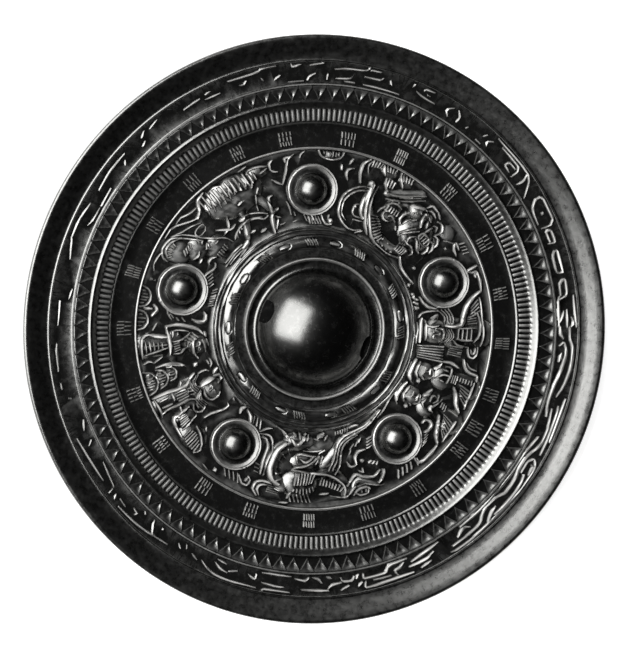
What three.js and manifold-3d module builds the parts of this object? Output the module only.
// A cast bronze mirror with seated deities and beasts, lying on its polished face.
// Millimetres, +Z up. The origin is the centre of the small flat on the polished face, and +X runs
// along the cord hole through the knob. Directions on the back are angles in degrees from +X,
// counter-clockwise seen from above.
import * as THREE from 'three';
import { mergeVertices } from 'three/addons/utils/BufferGeometryUtils.js';
import Module from 'manifold-3d';

const wasm = await Module();
wasm.setup();

// ---- Driving dimensions ----
const DISC_RADIUS = 104;          // nine Han inches across
const FACE_SAG = 3.4;             // rise of the convex polished face from its flat to the edge
const FLAT_RADIUS = 30;           // small flat that keeps the mirror from rocking

// Radii of the bands on the back, from the edge to the knob
const EDGE_ROUND = 0.9;           // rounding of the outer edge
const RIM_CREST = 102.9;          // top of the slanted rim
const RIM_FOOT = 95.3;            // where the slanted rim starts
const SAW_BASE = 86.0;            // inner edge of the raised scroll band, cut into saw teeth
const SAW_TIP = 81.3;
const STEP_TOP = 80.2;            // slope from the high outer zone to the low inner one
const STEP_FOOT = 77.8;
const COMB_INNER = 73.1;          // inner side of the raised band of comb teeth
const FIELD_OUTER = 63.6;         // field of figures
const FIELD_INNER = 36.4;

// Heights over the flat. The inner bands are level rings, and the metal under them is 2 to 7 mm thick.
const CREST_LEVEL = 10.5;
const EDGE_LEVEL = 9.6;           // where the rounding of the crest meets the outer edge
const RIM_FOOT_LEVEL = 8.0;
const BAND_LEVEL = 7.55;          // raised scroll band, at its inner edge
const TOOTH_LEVEL = 7.5;          // the saw teeth end just below it
const STEP_LEVEL = 7.15;
const COMB_LEVEL = 5.1;
const TEXT_LEVEL = 4.6;
const FIELD_LEVEL = 3.05;

const SAW_TEETH = 107;

const KNOB_RADIUS = 20.9;
const KNOB_HEIGHT = 14;           // above the seat
const SEAT_LEVEL = 3.15;          // flat ring that the knob rises from
const CORD_HOLE = { width: 8.2, straight: 2.0, arch: 3.2, floor: 4.4, length: 60 };

const NIPPLE_PITCH = 49.3;        // radius of the circle of nipples
const FIRST_NIPPLE = 39;          // degrees
const PANELS = 5;
const PANEL_STEP = 360 / PANELS;

const BODY_SIDES = 72;
const BOSS_SIDES = 40;
const NIPPLE_SIDES = 16;
const BLOB_SIDES = 8;
const SUNK = 0.5;                 // how deep each raised form is rooted in the field

// Height of the polished face at a radius
function faceLevel(r) {
  const share = (r ** 2 - FLAT_RADIUS ** 2) / (DISC_RADIUS ** 2 - FLAT_RADIUS ** 2);
  return FACE_SAG * Math.max(0, share);
}

// ---- Solids ----
// A closed triangle mesh as a manifold solid, with its faces turned outwards.
function toSolid(geometry) {
  const bare = geometry.clone();
  for (const name of Object.keys(bare.attributes)) {
    if (name !== 'position') bare.deleteAttribute(name);
  }
  const merged = mergeVertices(bare, 1e-4);
  const index = merged.getIndex().array;
  const position = merged.getAttribute('position').array;
  const corner = (i) => new THREE.Vector3().fromArray(position, 3 * i);
  const kept = [];
  let volume = 0;
  for (let i = 0; i < index.length; i += 3) {
    const [a, b, c] = [index[i], index[i + 1], index[i + 2]];
    if (a === b || b === c || c === a) continue;
    kept.push([a, b, c]);
    volume += corner(a).dot(corner(b).cross(corner(c)));
  }
  const triangles = kept.map(([a, b, c]) => (volume < 0 ? [a, c, b] : [a, b, c]));
  return new wasm.Manifold(new wasm.Mesh({
    numProp: 3,
    vertProperties: new Float32Array(position),
    triVerts: new Uint32Array(triangles.flat()),
  }));
}

// A body turned about Z from a profile of [radius, height] that starts and ends on the axis.
function turned(profile, sides) {
  const points = profile.map(([r, z]) => new THREE.Vector2(r, z));
  return toSolid(new THREE.LatheGeometry(points, sides).rotateX(Math.PI / 2));
}

// A closed skin through rings of equally many points, with flat ends; a ring of one point is a tip.
function lofted(rings) {
  const count = rings[0].length;
  const vertices = [];
  const push = (...points) => points.forEach((p) => vertices.push(...p));
  for (let k = 0; k + 1 < rings.length; k += 1) {
    for (let i = 0; i < count; i += 1) {
      const j = (i + 1) % count;
      const [low, high] = [rings[k], rings[k + 1]];
      if (high.length === 1) push(low[i], low[j], high[0]);
      else push(low[i], low[j], high[j], low[i], high[j], high[i]);
    }
  }
  const cap = (ring, forward) => {
    for (let i = 1; i + 1 < ring.length; i += 1) {
      if (forward) push(ring[0], ring[i], ring[i + 1]);
      else push(ring[0], ring[i + 1], ring[i]);
    }
  };
  cap(rings[0], false);
  cap(rings[rings.length - 1], true);
  const geometry = new THREE.BufferGeometry();
  geometry.setAttribute('position', new THREE.Float32BufferAttribute(vertices, 3));
  return toSolid(geometry);
}

// ---- Forms of the relief, placed in a panel ----
// A panel is the field between two nipples. A place in it is [degrees from its middle, radius].
const panelMiddle = (panel) => FIRST_NIPPLE + PANEL_STEP * (panel + 0.5);

function place(panel, [degrees, radius]) {
  const angle = THREE.MathUtils.degToRad(panelMiddle(panel) + degrees);
  return new THREE.Vector2(radius * Math.cos(angle), radius * Math.sin(angle));
}

const onField = (point, rise) => [point.x, point.y, FIELD_LEVEL + rise];

// A tapering ridge along a smooth line through the given places. Widths are half widths at its start,
// middle and end.
function ridge(panel, places, widths, height, steps = 2 * (places.length - 1)) {
  const line = new THREE.SplineCurve(places.map((p) => place(panel, p)));
  const rings = [];
  for (let k = 0; k <= steps; k += 1) {
    const t = k / steps;
    const middle = line.getPoint(t);
    const along = line.getTangent(t);
    const side = new THREE.Vector2(-along.y, along.x);
    const half = t < 0.5
      ? THREE.MathUtils.lerp(widths[0], widths[1], 2 * t)
      : THREE.MathUtils.lerp(widths[1], widths[2], 2 * t - 1);
    const end = k === 0 || k === steps ? 0.55 : 1;
    const across = (share, rise) => onField(middle.clone().addScaledVector(side, share * half), rise);
    rings.push([across(1, -SUNK), across(0.5, height * end), across(-0.5, height * end), across(-1, -SUNK)]);
  }
  return lofted(rings);
}

// A low rounded mass, such as a head, a hip or a fold of cloth: half sizes across and along the radius.
function mass(panel, middle, across, along, height) {
  const centre = place(panel, middle);
  const out = centre.clone().normalize();
  const side = new THREE.Vector2(-out.y, out.x);
  const ring = (share, rise) => Array.from({ length: BLOB_SIDES }, (_, i) => {
    const turn = 2 * Math.PI * (i + 0.5) / BLOB_SIDES;
    const point = centre.clone()
      .addScaledVector(side, across * share * Math.cos(turn))
      .addScaledVector(out, along * share * Math.sin(turn));
    return onField(point, rise);
  });
  return lofted([ring(1.05, -SUNK), ring(0.7, 0.75 * height), [onField(centre, height)]]);
}

// A ring or hook round a middle, from one turn to another, in degrees from the outward direction.
function curl(panel, middle, radius, from, to, half, height) {
  const centre = place(panel, middle);
  const heading = Math.atan2(centre.y, centre.x);
  const stations = 4;
  const places = Array.from({ length: stations + 1 }, (_, i) => {
    const turn = heading + THREE.MathUtils.degToRad(THREE.MathUtils.lerp(from, to, i / stations));
    const x = centre.x + radius * Math.cos(turn);
    const y = centre.y + radius * Math.sin(turn);
    return [THREE.MathUtils.radToDeg(Math.atan2(y, x)) - panelMiddle(panel), Math.hypot(x, y)];
  });
  return ridge(panel, places, [half, half, 0.6 * half], height, stations + 1);
}

// A deity or attendant seated with the head towards the knob: head, shoulders, sleeves and a robe that
// widens towards the rim.
function seated(panel, [degrees, crown], size) {
  const robe = [[degrees, crown + 9.5 * size], [degrees, crown + 18.5 * size]];
  return [
    mass(panel, [degrees, crown], 3.5 * size, 3.7 * size, 2.8),
    mass(panel, [degrees, crown + 7.6 * size], 5.4 * size, 4.4 * size, 2.3),
    ridge(panel, robe, [3.4 * size, 3.6 * size, 4.4 * size], 1.7),
  ];
}

// ---- The five panels ----
// A horned beast that turns its large head to the viewer, its body arched round it.
function hornedBeast(p) {
  const hills = [2.4, 9].map((degrees) => mass(p, [degrees, 60.6], 2.8, 2.3, 1.4));
  return [
    ridge(p, [[13, 55], [11.3, 48.5], [7, 42], [-1, 39.4], [-9, 39.4], [-14.5, 42]], [1.4, 2.4, 1.6], 2, 8),
    mass(p, [-12, 49.4], 6.4, 6.2, 2.7),
    mass(p, [-7.6, 55.2], 4, 3.2, 2.9),
    mass(p, [1.4, 50.2], 3.2, 4.2, 1.9),
    curl(p, [16.4, 45.6], 6, -120, 110, 1.2, 1.5),
    ridge(p, [[-4.5, 61], [0.4, 57.4], [6.6, 54.4]], [1.6, 1.8, 1.2], 1.5),
    ...hills,
    ridge(p, [[18.3, 61.6], [19.4, 55.5]], [1, 1.1, 0.8], 1.2),
    mass(p, [23.6, 56.6], 1.8, 2.4, 1.2),
    mass(p, [28, 60.9], 2.8, 1.9, 1.2),
    mass(p, [-20, 58.4], 3, 2.6, 1.3),
  ];
}

// A maned beast striding over a smaller one.
function manedBeast(p) {
  return [
    mass(p, [-6.4, 56.8], 10.4, 5, 2.9),
    mass(p, [0.6, 52.4], 6.2, 4.6, 2.7),
    mass(p, [-17, 59.4], 3.6, 2.6, 1.9),
    ridge(p, [[-9, 53.5], [-14, 49.5], [-17, 44.5]], [2.4, 1.7, 1.1], 2),
    ridge(p, [[-5, 50], [-4, 45], [-1, 40.5]], [2.2, 1.7, 1.1], 2),
    ridge(p, [[7, 60.4], [11, 58.2], [16.5, 61.6]], [1.3, 1.4, 1.2], 1.4),
    ridge(p, [[20.3, 61.4], [15.6, 54.5], [7.8, 47.2], [4.7, 42.6]], [1.1, 1.1, 0.8], 1.4),
    mass(p, [23.6, 57], 4.4, 4.6, 2.2),
    mass(p, [18.6, 51.4], 4.4, 3.4, 2),
    mass(p, [12.6, 45.6], 4.4, 3.6, 1.7),
    ridge(p, [[-28, 61.2], [-24, 55.6], [-18.5, 58.6]], [1, 1.1, 1], 1.2),
    ridge(p, [[14, 40.4], [6, 39.4]], [1.3, 1.6, 0.8], 1.1),
    curl(p, [-24.5, 43], 2.2, -60, 150, 0.9, 1.2),
  ];
}

// Two seated deities with a stack of hills between them, and a kneeling attendant.
function deities(p) {
  const hills = [61, 57, 53.4].map((r, i) => mass(p, [-1.8, r], 3.4 - 0.5 * i, 2, 1.4));
  return [
    ...seated(p, [-12, 42.4], 1.05),
    ...hills,
    ...seated(p, [9.2, 42.2], 1.05),
    mass(p, [21.8, 57.4], 5.4, 4.6, 1.7),
    mass(p, [18, 51.6], 2.8, 4.4, 2),
    curl(p, [-24, 41.2], 2.1, -60, 150, 0.9, 1.2),
    mass(p, [-25.5, 60.4], 3.2, 2.1, 1.2),
    curl(p, [26, 41], 2.1, -60, 150, 0.9, 1.2),
  ];
}

// A dragon with an arched neck, a long tail and a wing.
function dragon(p) {
  return [
    ridge(p, [[-13, 57.3], [-18.6, 51.8], [-18.4, 45.5], [-12.5, 41.6], [-4, 40]], [1.8, 2.7, 2.1], 2.4, 8),
    mass(p, [1.6, 41], 4.8, 3, 2.3),
    mass(p, [-7, 54.8], 6.6, 5.2, 2.6),
    mass(p, [-5.2, 46.8], 5.4, 2.8, 1.4),
    ridge(p, [[-1, 52], [5, 51.4], [9.6, 55.4], [9.8, 60.2]], [1.9, 2.2, 1.5], 1.9, 6),
    ridge(p, [[3, 48.5], [8.6, 44.5], [14, 40.8], [22, 39.2], [30, 38.8]], [1.6, 2, 0.8], 1.5, 8),
    ridge(p, [[11.5, 59.6], [15.4, 56], [21.5, 59.4], [25, 56.4]], [1, 1.3, 0.9], 1.4, 6),
    curl(p, [18.5, 48.8], 2.3, -160, 60, 1, 1.4),
    ridge(p, [[-24, 53.5], [-25.5, 47.5], [-24.5, 41.5]], [1.1, 1.5, 1.1], 1.2),
    mass(p, [-23, 60.2], 3, 2.1, 1.2),
    mass(p, [28, 60.6], 2.6, 1.9, 1.2),
  ];
}

// Two attendants before a large deity with streamers at its shoulders.
function court(p) {
  const attendants = [-17.6, -4.4].flatMap((degrees) => seated(p, [degrees, 42.4], 0.96));
  const streamers = [[6.2, -1.5], [25, 1.5]].map(([degrees, lean]) => (
    ridge(p, [[degrees + lean, 47], [degrees, 53], [degrees - lean, 60.8]], [1, 1.5, 1.1], 1.4)
  ));
  return [
    ...attendants,
    ...seated(p, [15.8, 42.4], 1.15),
    ...streamers,
    ridge(p, [[4.9, 45.6], [5.2, 39.6]], [1.8, 2, 1.6], 1),
    curl(p, [-27.5, 59.6], 1.9, -60, 150, 0.9, 1.2),
  ];
}

// ---- Parts of the cast body ----
function disc() {
  return turned([
    [0, 0],
    [FLAT_RADIUS, 0],
    [65, faceLevel(65)],
    [DISC_RADIUS - EDGE_ROUND, faceLevel(DISC_RADIUS - EDGE_ROUND)],
    [DISC_RADIUS, faceLevel(DISC_RADIUS) + EDGE_ROUND],
    [DISC_RADIUS, EDGE_LEVEL],
    [RIM_CREST, CREST_LEVEL],
    [RIM_FOOT, RIM_FOOT_LEVEL],
    [SAW_BASE, BAND_LEVEL],
    [SAW_BASE, STEP_LEVEL],
    [STEP_TOP, STEP_LEVEL],
    [STEP_FOOT, COMB_LEVEL],
    [COMB_INNER, COMB_LEVEL],
    [COMB_INNER, TEXT_LEVEL],
    [FIELD_OUTER, TEXT_LEVEL],
    [FIELD_OUTER, FIELD_LEVEL],
    [0, FIELD_LEVEL],
  ], BODY_SIDES);
}

// The fine ridge, the beaded band, the seat and the ring round the knob, and the knob itself.
function boss() {
  const rings = [
    [36.2, 0], [35.3, 0.75], [34.4, 0.1], [33.1, 0.1], [32.0, 1.1], [29.4, 1.35], [28.4, 0.2], [25.7, 0.2],
    [24.9, 1.2], [24.0, 0.3], [21.6, 0.1],
  ].map(([r, rise]) => [r, SEAT_LEVEL + rise]);
  const sphere = (KNOB_RADIUS ** 2 + KNOB_HEIGHT ** 2) / (2 * KNOB_HEIGHT);
  const widest = Math.asin(KNOB_RADIUS / sphere);
  const rows = 6;
  const dome = Array.from({ length: rows + 1 }, (_, i) => {
    const tilt = widest * (1 - i / rows);
    return [sphere * Math.sin(tilt), SEAT_LEVEL + KNOB_HEIGHT - sphere * (1 - Math.cos(tilt))];
  });
  dome[rows][0] = 0;
  const root = 1.2;
  return turned([[0, root], [rings[0][0], root], ...rings, ...dome], BOSS_SIDES);
}

// The arched hole for the cord, cut along X through the foot of the knob.
function cordHole() {
  const { width, straight, arch, floor, length } = CORD_HOLE;
  const outline = new THREE.Shape();
  outline.moveTo(-width / 2, floor);
  outline.lineTo(width / 2, floor);
  outline.lineTo(width / 2, floor + straight);
  outline.absellipse(0, floor + straight, width / 2, arch, 0, Math.PI, false, 0);
  outline.closePath();
  const bar = new THREE.ExtrudeGeometry(outline, { depth: length, bevelEnabled: false, curveSegments: 8 });
  bar.translate(0, 0, -length / 2);
  bar.rotateX(Math.PI / 2).rotateZ(Math.PI / 2);
  return toSolid(bar);
}

// A rounded stud in a shallow dish with a raised lip.
function nipple(index) {
  const profile = [[9.1, 0], [8.5, 0.7], [7.0, 0.1], [5.8, 0.6], [5.0, 2.6], [3.2, 4.2], [0, 4.9]];
  const angle = THREE.MathUtils.degToRad(FIRST_NIPPLE + PANEL_STEP * index);
  const shape = turned([[0, -SUNK], [9.1, -SUNK], ...profile], NIPPLE_SIDES);
  return shape.translate([NIPPLE_PITCH * Math.cos(angle), NIPPLE_PITCH * Math.sin(angle), FIELD_LEVEL]);
}

// The saw teeth on the inner edge of the scroll band, points inwards, rooted in the band.
function sawTeeth() {
  const at = (r, turn, z) => {
    const angle = 2 * Math.PI * turn / SAW_TEETH;
    return [r * Math.cos(angle), r * Math.sin(angle), z];
  };
  const root = SAW_BASE + SUNK;
  const tooth = (i) => {
    const ring = (z) => [at(root, i + 0.04, z), at(SAW_TIP, i + 0.5, z), at(root, i + 0.96, z)];
    return lofted([ring(STEP_LEVEL - SUNK), ring(TOOTH_LEVEL)]);
  };
  return Array.from({ length: SAW_TEETH }, (_, i) => tooth(i));
}

// ---- The mirror ----
function mirror() {
  const panels = [hornedBeast, manedBeast, deities, dragon, court];
  const relief = panels.flatMap((panel, index) => panel(index));
  const nipples = panels.map((_, index) => nipple(index));
  const cast = [boss(), ...sawTeeth(), ...nipples, ...relief].reduce((body, form) => body.add(form), disc());
  const mesh = cast.subtract(cordHole()).getMesh();
  const geometry = new THREE.BufferGeometry();
  geometry.setAttribute('position', new THREE.BufferAttribute(new Float32Array(mesh.vertProperties), 3));
  geometry.setIndex(new THREE.BufferAttribute(new Uint32Array(mesh.triVerts), 1));
  geometry.computeVertexNormals();
  return geometry;
}

const bronze = new THREE.MeshStandardMaterial({ color: 0x1b1c1a, roughness: 0.34, metalness: 0.9 });
const body = new THREE.Mesh(mirror(), bronze);
body.name = 'mirror';

const group = new THREE.Group();
group.add(body);

export default group;
